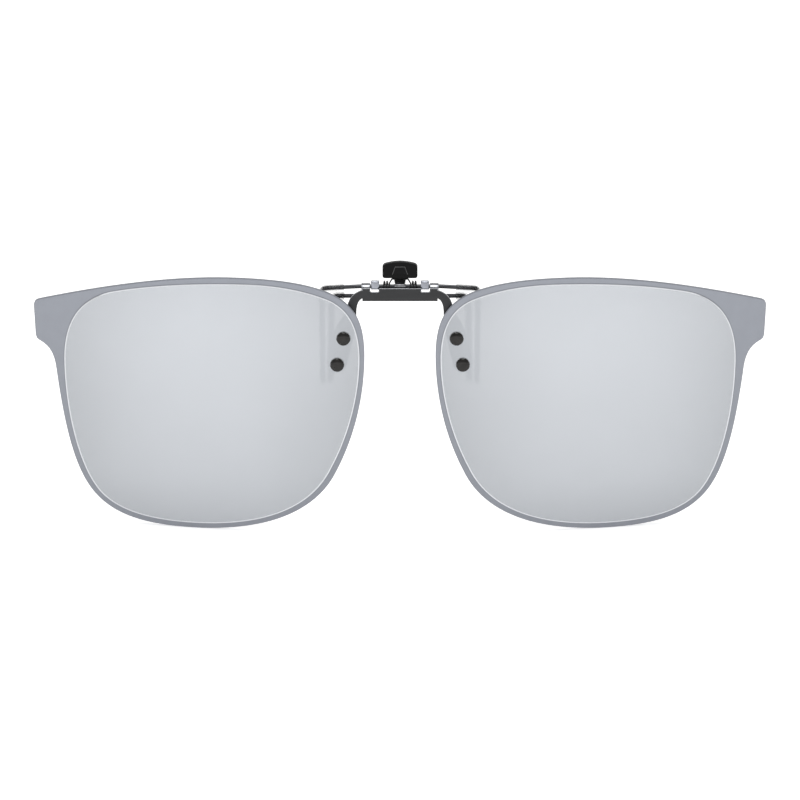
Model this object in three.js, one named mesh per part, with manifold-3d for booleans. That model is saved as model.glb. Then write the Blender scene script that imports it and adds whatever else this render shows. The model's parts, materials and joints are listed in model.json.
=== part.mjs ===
// Flip-up clip-on sunglasses, in millimetres. +Z is up, and the lenses face -Y.
//
// Two frameless mirrored lenses are riveted to a stamped bridge plate. Its two rolled knuckles turn on
// the axle, so the lenses flip up. The axle is also the rear prong wire: the thumb lever turns it against
// two torsion springs, and its two legs close on the front prong wire, which the clip body carries.
//
// All sizes below are counted from the middle of the axle. The last lines move the whole model so that
// its origin is the middle of the clip body's seat, which rests on the bridge of the spectacles.

import * as THREE from 'three';
import { mergeVertices } from 'three/addons/utils/BufferGeometryUtils.js';
import Module from 'manifold-3d';

// ---- Driving dimensions ----

const RUNNING_GAP = 0.04; // radial clearance of a knuckle on the axle
const SEAT_GAP = 0.03; // gap between pieces that touch
const SIDES = [-1, 1]; // left is -X, right is +X

// Lenses: two plates cut from one shallow sphere, whose foremost point lies between them
const LENS_RADIUS = 175; // of the front surface
const LENS_THICKNESS = 1.1;
const LENS_FRONT_Y = -3.45;
const LENS_APEX_Z = -14;
const LENS_REACH = 78; // radius of the spherical blank
const BORDER_STEP = 0.12; // depth of the frosted border below the mirrored area

// Rivets, two through each lens
const RIVET_PLACES = [new THREE.Vector2(11.13, -9.86), new THREE.Vector2(12.38, -15.13)];
const RIVET_HEAD_R = 1.33;
const RIVET_HEAD_HEIGHT = 0.72;
const RIVET_SHANK_R = 0.6;
const RIVET_TAIL_R = 0.95;
const RIVET_TAIL_HEIGHT = 0.4;
const BUSHING_R = 0.85;
const BUSHING_FLANGE_R = 1.42;
const BUSHING_FLANGE_HEIGHT = 0.22;
const WASHER_R = 1.7;

// Bridge plate: one flat stamping with two rolled knuckles
const PLATE_FRONT_Y = -1.55;
const PLATE_BACK_Y = -1.1;
const BAR_HALF = 7.4;
const BAR_TOP_Z = -0.13;
const BAR_BOTTOM_Z = -2.68;
const NOTCH = { inner: 4.1, outer: 5.87, bottom: -0.84, corner: 0.25 };
const OUTER_KNUCKLE = { inner: 5.87, outer: 7.6, r: 0.66 };
const PAD_R = 1.95; // round end of a pad, about its rivet

// Wires
const WIRE_R = 0.4; // rear prong wire and axle
const FRONT_WIRE_R = 0.42;
const WIRE_SIDES = 12;
const BEND_R = 1.35;
const BEND_STEP = THREE.MathUtils.degToRad(16);
const REAR_SLEEVE_R = 0.63;
const FRONT_SLEEVE_R = 0.78;
const SLEEVE_BORE_GAP = 0.06;
const SLEEVE_START_X = 11.1;
const REAR_PRONG_END_Z = -19.6;
const FRONT_PRONG_END_Z = -18.8;

// Clip body: a stamped saddle with two square-rolled knuckles
const WEB_FRONT_Y = -0.85;
const SHEET = 0.45;
const WEB_TOP_Z = -1.05;
const SADDLE_Z = -2.65;
const SADDLE_BACK_Y = 2.5;
const SADDLE_HALF = 4;
const INNER_KNUCKLE = { inner: 4.1, outer: 5.7, bottom: -0.56, top: 1.13, halfDepth: 0.8, corner: 0.38 };
const NECK_INNER_X = 3.5;

// Lever and thumb pad
const LEVER_KNUCKLE_R = 0.57;
const LEVER_KNUCKLE_HALF = 1.08;
const LEAF = { front: 0.37, back: 0.63, half: 0.95, top: 3.7 };
const PAD_HEAD = { half: 3.45, bottom: 1.64, side: 3.7, crown: 4.87, front: -0.45, back: 1.7, corner: 0.5 };
const PAD_NECK = { front: 0.26, back: 1.15, bottom: 1.1, halfTop: 1.75, halfBottom: 1.1 };
const PAD_STEM = { front: 0.26, back: 0.9, bottom: 0.62, half: 1.1 };

// Torsion springs
const SPRING = { wireR: 0.15, coilR: 0.85, centreY: 0.22, centreZ: 0.12, inner: 2.05, outer: 3.3, steps: 26, sides: 6 };
const SPRING_ANGLES = { start: THREE.MathUtils.degToRad(132), end: THREE.MathUtils.degToRad(232 + 720) };
const SPRING_HOOK = { tipX: 0.7, x: 1.6, y: 0.04, z: 1.45, kneeX: 1.8, kneeZ: 1.1 };
const SPRING_FOOT = { y: 1.6, z: -2.02 };

const origin = new THREE.Vector3(0, (WEB_FRONT_Y + SADDLE_BACK_Y) / 2, SADDLE_Z);

// ---- Materials ----

/** A plain material with its colour, roughness and metalness. */
function finish(color, roughness, metalness, opacity = 1) {
  return new THREE.MeshStandardMaterial({ color, roughness, metalness, opacity, transparent: opacity < 1 });
}

const FINISH = {
  lens: finish(0xc8ced4, 0.12, 0.6),
  plate: finish(0x3a3b3e, 0.42, 0.8),
  rivet: finish(0x2b2a28, 0.3, 0.8),
  clear: finish(0xe6e9ec, 0.25, 0, 0.6),
  steel: finish(0xb9bcc0, 0.22, 1),
  wire: finish(0x55575b, 0.25, 1),
  spring: finish(0x9a9ca0, 0.25, 1),
  thumb: finish(0x0b0b0c, 0.5, 0),
};

// ---- Solids ----

const wasm = await Module();
wasm.setup();

/** The signed volume that a triangle list encloses. */
function signedVolume(positions, triangles) {
  const [a, b, c] = [new THREE.Vector3(), new THREE.Vector3(), new THREE.Vector3()];
  let sum = 0;
  for (let i = 0; i < triangles.length; i += 3) {
    a.fromArray(positions, 3 * triangles[i]);
    b.fromArray(positions, 3 * triangles[i + 1]);
    c.fromArray(positions, 3 * triangles[i + 2]);
    sum += a.dot(b.cross(c)) / 6;
  }
  return sum;
}

/** Makes a solid of a closed geometry, whichever way its faces point. */
function solid(geometry) {
  const bare = geometry.clone();
  bare.deleteAttribute('normal');
  bare.deleteAttribute('uv');
  const merged = mergeVertices(bare, 1e-5);
  const positions = merged.getAttribute('position').array;
  const index = merged.getIndex().array;
  const triangles = [];
  for (let i = 0; i < index.length; i += 3) {
    const [a, b, c] = [index[i], index[i + 1], index[i + 2]];
    if (a !== b && b !== c && c !== a) {
      triangles.push(a, b, c);
    }
  }
  if (signedVolume(positions, triangles) < 0) {
    triangles.reverse();
  }
  const vertProperties = new Float32Array(positions);
  const triVerts = new Uint32Array(triangles);
  return new wasm.Manifold(new wasm.Mesh({ numProp: 3, vertProperties, triVerts }));
}

/** Joins a list of solids into one. */
function join(pieces) {
  return pieces.reduce((whole, piece) => whole.add(piece));
}

/** Shows a solid as a named mesh. */
function mesh(name, shape, material) {
  const { vertProperties, triVerts } = shape.getMesh();
  const geometry = new THREE.BufferGeometry();
  geometry.setAttribute('position', new THREE.BufferAttribute(new Float32Array(vertProperties), 3));
  geometry.setIndex(new THREE.BufferAttribute(new Uint32Array(triVerts), 1));
  geometry.computeVertexNormals();
  const result = new THREE.Mesh(geometry, material);
  result.name = name;
  return result;
}

/** Extrudes a shape drawn in X and Z, as seen from the front, between two depths. */
function plate(shape, frontY, backY, curveSegments = 6) {
  const options = { depth: backY - frontY, bevelEnabled: false, curveSegments };
  const geometry = new THREE.ExtrudeGeometry(shape, options);
  geometry.rotateX(Math.PI / 2);
  geometry.translate(0, backY, 0);
  return solid(geometry);
}

/** Extrudes a profile drawn in Y and Z, as seen from the side, between two X places. */
function rolled(profile, fromX, toX, curveSegments = 6) {
  const options = { depth: toX - fromX, bevelEnabled: false, curveSegments };
  const geometry = new THREE.ExtrudeGeometry(profile, options);
  geometry.applyMatrix4(new THREE.Matrix4().set(0, 0, 1, 0, 1, 0, 0, 0, 0, 1, 0, 0, 0, 0, 0, 1));
  geometry.translate(fromX, 0, 0);
  return solid(geometry);
}

/** Revolves a profile of (radius, depth) points about a line along Y through a place on the front view. */
function turned(profile, x, z, segments = 16) {
  const points = profile.map(([radius, depth]) => new THREE.Vector2(radius, depth));
  const geometry = new THREE.LatheGeometry(points, segments);
  geometry.translate(x, 0, z);
  return solid(geometry);
}

/** A bar of round section along X through the axle's middle, to bore knuckles with. */
function axleBore(radius) {
  const geometry = new THREE.CylinderGeometry(radius, radius, 40, 20);
  geometry.rotateZ(Math.PI / 2);
  return solid(geometry);
}

/** A rectangle with round corners, as a shape. */
function roundedRectangle(left, bottom, right, top, corner) {
  const shape = new THREE.Shape();
  shape.moveTo(left + corner, bottom);
  shape.lineTo(right - corner, bottom);
  shape.absarc(right - corner, bottom + corner, corner, -Math.PI / 2, 0);
  shape.lineTo(right, top - corner);
  shape.absarc(right - corner, top - corner, corner, 0, Math.PI / 2);
  shape.lineTo(left + corner, top);
  shape.absarc(left + corner, top - corner, corner, Math.PI / 2, Math.PI);
  shape.lineTo(left, bottom + corner);
  shape.absarc(left + corner, bottom + corner, corner, Math.PI, 1.5 * Math.PI);
  return shape;
}

/** Mirrors a solid from the right side to the left, or leaves it. */
function onSide(shape, side) {
  return side > 0 ? shape : shape.mirror([1, 0, 0]);
}

// ---- Wires ----

/** A wire's route: straight runs between corners, with each corner bent to one radius. */
class WireRoute extends THREE.Curve {
  constructor(corners, bendRadius) {
    super();
    const first = corners[0];
    const last = corners[corners.length - 1];
    this.stations = [first.clone()];
    this.directions = [corners[1].clone().sub(first).normalize()];
    for (let i = 1; i < corners.length - 1; i += 1) {
      this.bend(corners[i - 1], corners[i], corners[i + 1], bendRadius);
    }
    this.stations.push(last.clone());
    this.directions.push(last.clone().sub(corners[corners.length - 2]).normalize());
  }

  /** Adds the stations of one bend. */
  bend(before, corner, after, radius) {
    const incoming = corner.clone().sub(before).normalize();
    const outgoing = after.clone().sub(corner).normalize();
    const angle = incoming.angleTo(outgoing);
    const steps = Math.ceil(angle / BEND_STEP);
    const start = corner.clone().addScaledVector(incoming, -radius * Math.tan(angle / 2));
    const turnAxis = incoming.clone().cross(outgoing).normalize();
    const inward = turnAxis.clone().cross(incoming);
    const centre = start.clone().addScaledVector(inward, radius);
    for (let i = 0; i <= steps; i += 1) {
      const turn = new THREE.Quaternion().setFromAxisAngle(turnAxis, (angle * i) / steps);
      const arm = inward.clone().multiplyScalar(-radius).applyQuaternion(turn);
      this.stations.push(centre.clone().add(arm));
      this.directions.push(incoming.clone().applyQuaternion(turn));
    }
  }

  get steps() {
    return this.stations.length - 1;
  }

  getPointAt(u, target = new THREE.Vector3()) {
    return target.copy(this.stations[Math.round(u * this.steps)]);
  }

  getTangentAt(u, target = new THREE.Vector3()) {
    return target.copy(this.directions[Math.round(u * this.steps)]);
  }
}

/** A closed round bar along a route. */
function roundBar(route, radius, sides = WIRE_SIDES) {
  const section = new THREE.Shape();
  section.absarc(0, 0, radius, 0, 2 * Math.PI);
  const options = { steps: route.steps, extrudePath: route, curveSegments: sides / 2 };
  return solid(new THREE.ExtrudeGeometry(section, options));
}

/** The corners of a symmetric wire, from its right half's corners, which start at the middle. */
function bothHalves(rightHalf) {
  const leftHalf = rightHalf.map((corner) => new THREE.Vector3(-corner.x, corner.y, corner.z));
  return [...leftHalf.reverse(), ...rightHalf];
}

/** A soft tube with a round closed end, pushed over a wire's leg. */
function sleeve(corners, outerRadius, wireRadius) {
  const [mouth, ...rest] = corners;
  const wireEnd = rest[rest.length - 1];
  const along = wireEnd.clone().sub(rest[rest.length - 2]).normalize();
  const backwards = mouth.clone().sub(rest[0]).normalize();
  const tubeEnd = wireEnd.clone().addScaledVector(along, 2 * SLEEVE_BORE_GAP);
  const openMouth = mouth.clone().addScaledVector(backwards, outerRadius);
  const inner = [...rest.slice(0, -1), tubeEnd];
  const tube = roundBar(new WireRoute([mouth, ...inner], BEND_R), outerRadius);
  const dome = new THREE.SphereGeometry(outerRadius, WIRE_SIDES, 8);
  dome.translate(tubeEnd.x, tubeEnd.y, tubeEnd.z);
  const bore = roundBar(new WireRoute([openMouth, ...inner], BEND_R), wireRadius + SLEEVE_BORE_GAP);
  return tube.add(solid(dome)).subtract(bore);
}

const REAR_WIRE_CORNERS = [
  new THREE.Vector3(8, 0, 0),
  new THREE.Vector3(14.9, 0, -0.36),
  new THREE.Vector3(15.4, 2.75, -1.3),
  new THREE.Vector3(15.25, 2.75, REAR_PRONG_END_Z),
];
const FRONT_WIRE_CORNERS = [
  new THREE.Vector3(8.2, 0.14, -1.94),
  new THREE.Vector3(13.45, 0.6, -2.03),
  new THREE.Vector3(13.7, 0.6, FRONT_PRONG_END_Z),
];

/** The place where a wire's first sloping run reaches a given X. */
function placeOnRun(corners, x) {
  const [from, to] = corners;
  return from.clone().lerp(to, (x - from.x) / (to.x - from.x));
}

/** A wire with both legs. */
function prongWire(corners, radius) {
  return roundBar(new WireRoute(bothHalves(corners), BEND_R), radius);
}

/** The sleeve of a wire's right leg. */
function prongSleeve(corners, outerRadius, wireRadius) {
  return sleeve([placeOnRun(corners, SLEEVE_START_X), ...corners.slice(1)], outerRadius, wireRadius);
}

// ---- Lenses ----

/** The lens's outer edge, with the lug at its outer top corner, on the +X side. */
function lensOutline() {
  const shape = new THREE.Shape();
  shape.moveTo(32.5, 1.5);
  shape.bezierCurveTo(24.5, 1.5, 18.6, 0.85, 14.0, -0.95);
  shape.bezierCurveTo(9.1, -3.0, 7.0, -6.4, 7.0, -13.4);
  shape.bezierCurveTo(7.0, -20.7, 8.7, -29.2, 12.5, -36.9);
  shape.bezierCurveTo(16.7, -46.3, 27.4, -50.4, 41.5, -50.4);
  shape.bezierCurveTo(49.6, -50.4, 56.6, -49.5, 61.0, -44.7);
  shape.bezierCurveTo(65.5, -39.9, 67.2, -29.6, 68.5, -19.7);
  shape.bezierCurveTo(68.8, -16.7, 69.4, -14.6, 72.0, -13.45);
  shape.bezierCurveTo(72.55, -13.2, 72.7, -12.8, 72.75, -12.1);
  shape.lineTo(73.05, -6.5);
  shape.bezierCurveTo(73.1, -5.8, 72.7, -5.35, 72.0, -5.15);
  shape.bezierCurveTo(58.0, -1.1, 44.5, 1.5, 32.5, 1.5);
  return shape;
}

/** The edge between the mirrored area and the frosted border. */
function mirrorOutline() {
  const shape = new THREE.Shape();
  shape.moveTo(30.0, 0.4);
  shape.bezierCurveTo(24.0, 0.4, 18.6, -0.5, 14.0, -2.3);
  shape.bezierCurveTo(9.8, -4.2, 7.95, -8.1, 7.95, -14.0);
  shape.bezierCurveTo(7.95, -21.0, 10.0, -29.4, 13.5, -36.3);
  shape.bezierCurveTo(17.7, -45.7, 28.1, -49.35, 41.3, -49.35);
  shape.bezierCurveTo(48.9, -49.35, 55.6, -48.4, 59.6, -44.6);
  shape.bezierCurveTo(64.4, -40.0, 66.95, -27.0, 66.95, -17.0);
  shape.bezierCurveTo(66.95, -9.2, 63.8, -4.5, 57.5, -2.5);
  shape.bezierCurveTo(49.0, -0.45, 39.0, 0.4, 30.0, 0.4);
  return shape;
}

/** How far the front sphere has fallen back from its foremost point, at a distance from its middle line. */
function sag(distance, radius) {
  return radius - Math.sqrt(radius * radius - distance * distance);
}

/** A blank between two concentric spheres, given as depths behind the lens's front surface. */
function sphericalBlank(frontDepth, backDepth) {
  const rings = 12;
  const frontArc = [];
  const backArc = [];
  for (let i = 0; i <= rings; i += 1) {
    const distance = (LENS_REACH * i) / rings;
    frontArc.push([distance, LENS_FRONT_Y + frontDepth + sag(distance, LENS_RADIUS - frontDepth)]);
    backArc.push([distance, LENS_FRONT_Y + backDepth + sag(distance, LENS_RADIUS - backDepth)]);
  }
  return turned([...frontArc, ...backArc.reverse()], 0, LENS_APEX_Z, 64);
}

/** The right lens, with its border step and two holes. */
function lens() {
  const deep = 20;
  const body = sphericalBlank(BORDER_STEP, LENS_THICKNESS).intersect(plate(lensOutline(), -deep, deep, 7));
  const raised = sphericalBlank(0, LENS_THICKNESS / 2).intersect(plate(mirrorOutline(), -deep, deep, 6));
  const holeR = BUSHING_R + SEAT_GAP;
  const holes = RIVET_PLACES.map(({ x, y }) => turned([[0, -deep], [holeR, -deep], [holeR, deep], [0, deep]], x, y));
  return body.add(raised).subtract(join(holes));
}

/** The depth of the lens's front or back surface at a place on the front view. */
function lensDepth(place, behindFront) {
  const distance = Math.hypot(place.x, place.y - LENS_APEX_Z);
  return LENS_FRONT_Y + behindFront + sag(distance, LENS_RADIUS - behindFront);
}

// ---- Rivets, bushings and washers ----

/** A domed rivet through a lens and its pad, with its tail formed over behind. */
function rivet(place) {
  const headY = lensDepth(place, 0) - BUSHING_FLANGE_HEIGHT;
  const tailY = PLATE_BACK_Y + SEAT_GAP;
  const profile = [[0, headY - RIVET_HEAD_HEIGHT]];
  const domeSteps = 5;
  for (let i = 1; i <= domeSteps; i += 1) {
    const angle = (Math.PI / 2) * (i / domeSteps);
    profile.push([RIVET_HEAD_R * Math.sin(angle), headY - 0.12 - (RIVET_HEAD_HEIGHT - 0.12) * Math.cos(angle)]);
  }
  profile.push([RIVET_HEAD_R, headY]);
  profile.push([RIVET_SHANK_R, headY]);
  profile.push([RIVET_SHANK_R, tailY]);
  profile.push([RIVET_TAIL_R, tailY]);
  profile.push([RIVET_TAIL_R, tailY + 0.5 * RIVET_TAIL_HEIGHT]);
  profile.push([0.6 * RIVET_TAIL_R, tailY + RIVET_TAIL_HEIGHT]);
  profile.push([0, tailY + RIVET_TAIL_HEIGHT]);
  return turned(profile, place.x, place.y);
}

/** A clear top-hat bushing: its flange lies on the lens under the rivet's head. */
function bushing(place) {
  const bore = RIVET_SHANK_R + SEAT_GAP;
  const flangeY = lensDepth(place, 0) - BUSHING_FLANGE_HEIGHT + SEAT_GAP;
  const endY = lensDepth(place, LENS_THICKNESS) - SEAT_GAP;
  const seatY = lensDepth(place, 0) + 0.2;
  const hat = [[bore, flangeY], [BUSHING_FLANGE_R, flangeY], [BUSHING_FLANGE_R, seatY], [BUSHING_R, seatY]];
  const profile = [...hat, [BUSHING_R, endY], [bore, endY], [bore, flangeY]];
  const lensSpace = sphericalBlank(-SEAT_GAP, LENS_THICKNESS);
  const sleeveSpace = turned([[0, -9], [BUSHING_R + 0.01, -9], [BUSHING_R + 0.01, 9], [0, 9]], place.x, place.y);
  return turned(profile, place.x, place.y).subtract(lensSpace.subtract(sleeveSpace));
}

/** A clear washer that fills the wedge between the curved lens and the flat pad. */
function washer(place) {
  const bore = RIVET_SHANK_R + SEAT_GAP;
  const [frontY, backY] = [lensDepth(place, 0), PLATE_FRONT_Y - SEAT_GAP];
  const profile = [[bore, frontY], [WASHER_R, frontY], [WASHER_R, backY], [bore, backY], [bore, frontY]];
  return turned(profile, place.x, place.y).subtract(sphericalBlank(-1, LENS_THICKNESS + SEAT_GAP));
}

// ---- Bridge plate ----

/** The right half of the stamping's outline: bar, curved arm and riveting pad. */
function bridgeOutline() {
  const [upper, lower] = RIVET_PLACES;
  const lean = Math.atan2(lower.x - upper.x, upper.y - lower.y);
  const shape = new THREE.Shape();
  shape.moveTo(0, BAR_TOP_Z);
  shape.lineTo(0, BAR_BOTTOM_Z);
  shape.lineTo(BAR_HALF, BAR_BOTTOM_Z);
  shape.lineTo(BAR_HALF, -2.15);
  shape.bezierCurveTo(8.1, -2.4, 8.55, -3.3, 8.58, -5.0);
  shape.bezierCurveTo(8.6, -7.0, 8.85, -8.8, upper.x - PAD_R * Math.cos(lean), upper.y - PAD_R * Math.sin(lean));
  shape.lineTo(lower.x - PAD_R * Math.cos(lean), lower.y - PAD_R * Math.sin(lean));
  shape.absarc(lower.x, lower.y, PAD_R, Math.PI + lean, 2 * Math.PI + lean);
  shape.lineTo(upper.x + PAD_R * Math.cos(lean), upper.y + PAD_R * Math.sin(lean));
  shape.bezierCurveTo(12.5, -6.9, 10.8, -5.6, 10.35, -3.9);
  shape.bezierCurveTo(10.15, -2.1, 9.3, -1.05, BAR_HALF, -0.45);
  shape.lineTo(BAR_HALF, BAR_TOP_Z);
  shape.lineTo(NOTCH.outer, BAR_TOP_Z);
  shape.lineTo(NOTCH.outer, NOTCH.bottom + NOTCH.corner);
  shape.absarc(NOTCH.outer - NOTCH.corner, NOTCH.bottom + NOTCH.corner, NOTCH.corner, 0, -Math.PI / 2, true);
  shape.lineTo(NOTCH.inner + NOTCH.corner, NOTCH.bottom);
  shape.absarc(NOTCH.inner + NOTCH.corner, NOTCH.bottom + NOTCH.corner, NOTCH.corner, -Math.PI / 2, Math.PI, true);
  shape.lineTo(NOTCH.inner, BAR_TOP_Z);
  return shape;
}

/** A knuckle's profile: the plate's top edge rolled back round the axle. */
function rolledKnuckleProfile() {
  const r = OUTER_KNUCKLE.r;
  const profile = new THREE.Shape();
  profile.moveTo(PLATE_FRONT_Y, -1);
  profile.lineTo(PLATE_BACK_Y, -1);
  profile.bezierCurveTo(PLATE_BACK_Y, -0.8, -0.7, -r, 0, -r);
  profile.absarc(0, 0, r, -Math.PI / 2, Math.PI / 2);
  profile.bezierCurveTo(-0.8, r, PLATE_FRONT_Y, 0.4, PLATE_FRONT_Y, -0.25);
  return profile;
}

/** The whole bridge plate. */
function bridgePlate() {
  const half = plate(bridgeOutline(), PLATE_FRONT_Y, PLATE_BACK_Y);
  const knuckle = rolled(rolledKnuckleProfile(), OUTER_KNUCKLE.inner, OUTER_KNUCKLE.outer);
  const shankR = RIVET_SHANK_R + SEAT_GAP;
  const holes = RIVET_PLACES.map(({ x, y }) => turned([[0, -9], [shankR, -9], [shankR, 9], [0, 9]], x, y));
  const right = half.add(knuckle).subtract(join(holes));
  return right.add(onSide(right, -1)).subtract(axleBore(WIRE_R + RUNNING_GAP));
}

// ---- Clip body ----

/** The saddle's side profile: an upright web and a seat that runs back from its foot. */
function saddleProfile() {
  const bend = SHEET + 0.1;
  const [webBackY, seatTopZ] = [WEB_FRONT_Y + SHEET, SADDLE_Z + SHEET];
  const profile = new THREE.Shape();
  profile.moveTo(WEB_FRONT_Y, WEB_TOP_Z);
  profile.lineTo(WEB_FRONT_Y, SADDLE_Z + bend);
  profile.absarc(WEB_FRONT_Y + bend, SADDLE_Z + bend, bend, Math.PI, 1.5 * Math.PI);
  profile.lineTo(SADDLE_BACK_Y, SADDLE_Z);
  profile.lineTo(SADDLE_BACK_Y, seatTopZ);
  profile.lineTo(webBackY, seatTopZ);
  profile.lineTo(webBackY, WEB_TOP_Z);
  return profile;
}

/** The saddle seen from above, with its rear corners rounded off. */
function saddlePlan() {
  const corner = 1;
  const shape = roundedRectangle(-SADDLE_HALF, -SADDLE_BACK_Y, SADDLE_HALF, SADDLE_BACK_Y, corner);
  const geometry = new THREE.ExtrudeGeometry(shape, { depth: 4, bevelEnabled: false, curveSegments: 5 });
  geometry.translate(0, 0, SADDLE_Z - 1);
  return solid(geometry);
}

/** The clip body: saddle, two necks and two square-rolled knuckles round the axle. */
function clipBody() {
  const { inner, outer, bottom, top, halfDepth, corner } = INNER_KNUCKLE;
  const saddle = rolled(saddleProfile(), -SADDLE_HALF, SADDLE_HALF).intersect(saddlePlan());
  const knuckleProfile = roundedRectangle(-halfDepth, bottom, halfDepth, top, corner);
  const neckProfile = roundedRectangle(WEB_FRONT_Y, WEB_TOP_Z - SHEET, WEB_FRONT_Y + 1.5, -0.3, 0.12);
  const sides = SIDES.map((side) => {
    const knuckle = rolled(knuckleProfile, inner, outer, 4);
    const neck = rolled(neckProfile, NECK_INNER_X, inner + 0.1, 3);
    return onSide(knuckle.add(neck), side);
  });
  const wireSpace = prongWire(FRONT_WIRE_CORNERS, FRONT_WIRE_R + SEAT_GAP);
  return saddle.add(join(sides)).subtract(axleBore(WIRE_R + RUNNING_GAP)).subtract(wireSpace);
}

// ---- Lever and thumb pad ----

/** The lever: a strip rolled round the axle, with a leaf that stands up behind it. */
function leverPlate() {
  const ring = new THREE.Shape();
  ring.absarc(0, 0, LEVER_KNUCKLE_R, 0, 2 * Math.PI);
  const knuckle = rolled(ring, -LEVER_KNUCKLE_HALF, LEVER_KNUCKLE_HALF, 10);
  const leaf = roundedRectangle(-LEAF.half, 0, LEAF.half, LEAF.top, 0.3);
  return knuckle.add(plate(leaf, LEAF.front, LEAF.back, 4)).subtract(axleBore(WIRE_R + SEAT_GAP));
}

/** The thumb pad's head seen from the front: a crowned bar with round corners. */
function headOutline() {
  const { half, bottom, side, crown, corner } = PAD_HEAD;
  const shape = new THREE.Shape();
  shape.moveTo(-half + corner, bottom);
  shape.lineTo(half - corner, bottom);
  shape.absarc(half - corner, bottom + corner, corner, -Math.PI / 2, 0);
  shape.lineTo(half, side);
  shape.bezierCurveTo(half, side + 0.3, half - 0.13, side + 0.55, half - 0.5, side + 0.72);
  shape.bezierCurveTo(2.2, crown - 0.21, 1.1, crown - 0.02, 0, crown);
  shape.bezierCurveTo(-1.1, crown - 0.02, -2.2, crown - 0.21, -half + 0.5, side + 0.72);
  shape.bezierCurveTo(-half + 0.13, side + 0.55, -half, side + 0.3, -half, side);
  shape.lineTo(-half, bottom + corner);
  shape.absarc(-half + corner, bottom + corner, corner, Math.PI, 1.5 * Math.PI);
  return shape;
}

/** A plain trapezium, symmetric about X = 0. */
function trapezium(halfBottom, bottom, halfTop, top) {
  const shape = new THREE.Shape();
  shape.moveTo(-halfBottom, bottom);
  shape.lineTo(halfBottom, bottom);
  shape.lineTo(halfTop, top);
  shape.lineTo(-halfTop, top);
  return shape;
}

/** The thumb pad, moulded over the lever's leaf, with a raised grip on its front. */
function thumbPad() {
  const reliefDepth = 0.18;
  const head = plate(headOutline(), PAD_HEAD.front + reliefDepth, PAD_HEAD.back, 5);
  const relief = plate(trapezium(1.62, 2.35, 1.0, 4.02), PAD_HEAD.front, PAD_HEAD.front + 2 * reliefDepth);
  const neckShape = trapezium(PAD_NECK.halfBottom, PAD_NECK.bottom, PAD_NECK.halfTop, PAD_HEAD.bottom + 0.1);
  const neck = plate(neckShape, PAD_NECK.front, PAD_NECK.back);
  const stemShape = trapezium(PAD_STEM.half, PAD_STEM.bottom, PAD_STEM.half, PAD_NECK.bottom + 0.1);
  const stem = plate(stemShape, PAD_STEM.front, PAD_STEM.back);
  const socketShape = trapezium(LEAF.half + SEAT_GAP, 0, LEAF.half + SEAT_GAP, LEAF.top + SEAT_GAP);
  const socket = plate(socketShape, LEAF.front - SEAT_GAP, LEAF.back + SEAT_GAP);
  return join([head, relief, neck, stem]).subtract(socket);
}

// ---- Torsion springs ----

/** The right spring's route: a hook before the pad's neck, an open coil and a foot that stands on the saddle. */
class SpringRoute extends WireRoute {
  constructor() {
    const { coilR, centreY, centreZ, inner, outer, steps } = SPRING;
    const { start, end } = SPRING_ANGLES;
    const onCoil = (angle, x) => new THREE.Vector3(x, centreY + coilR * Math.cos(angle), centreZ + coilR * Math.sin(angle));
    const tip = new THREE.Vector3(SPRING_HOOK.tipX, SPRING_HOOK.y, SPRING_HOOK.z);
    const hook = new THREE.Vector3(SPRING_HOOK.x, SPRING_HOOK.y, SPRING_HOOK.z);
    const knee = new THREE.Vector3(SPRING_HOOK.kneeX, SPRING_HOOK.y, SPRING_HOOK.kneeZ);
    super([tip, hook, knee, onCoil(start, inner)], 0.16);
    const rise = (outer - inner) / ((end - start) * coilR);
    for (let i = 1; i <= steps; i += 1) {
      const angle = start + ((end - start) * i) / steps;
      this.stations.push(onCoil(angle, inner + ((outer - inner) * i) / steps));
      this.directions.push(new THREE.Vector3(rise, -Math.sin(angle), Math.cos(angle)).normalize());
    }
    const foot = new THREE.Vector3(outer, SPRING_FOOT.y, SPRING_FOOT.z);
    this.directions.push(foot.clone().sub(this.stations[this.stations.length - 1]).normalize());
    this.stations.push(foot);
  }
}

/** The right torsion spring. */
function torsionSpring() {
  return roundBar(new SpringRoute(), SPRING.wireR, SPRING.sides);
}

// ---- Assembly ----

const clipOn = new THREE.Group();
clipOn.name = 'clip_on_sunglasses';
clipOn.position.copy(origin).negate();

const lensCarrier = new THREE.Group();
lensCarrier.add(mesh('bridge_plate', bridgePlate(), FINISH.plate));
const clip = new THREE.Group();
clip.add(mesh('clip_body', clipBody(), FINISH.steel));
clip.add(mesh('front_prong_wire', prongWire(FRONT_WIRE_CORNERS, FRONT_WIRE_R), FINISH.wire));
const lever = new THREE.Group();
lever.add(mesh('rear_prong_wire', prongWire(REAR_WIRE_CORNERS, WIRE_R), FINISH.wire));
lever.add(mesh('lever_plate', leverPlate(), FINISH.steel));
lever.add(mesh('thumb_pad', thumbPad(), FINISH.thumb));

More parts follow.
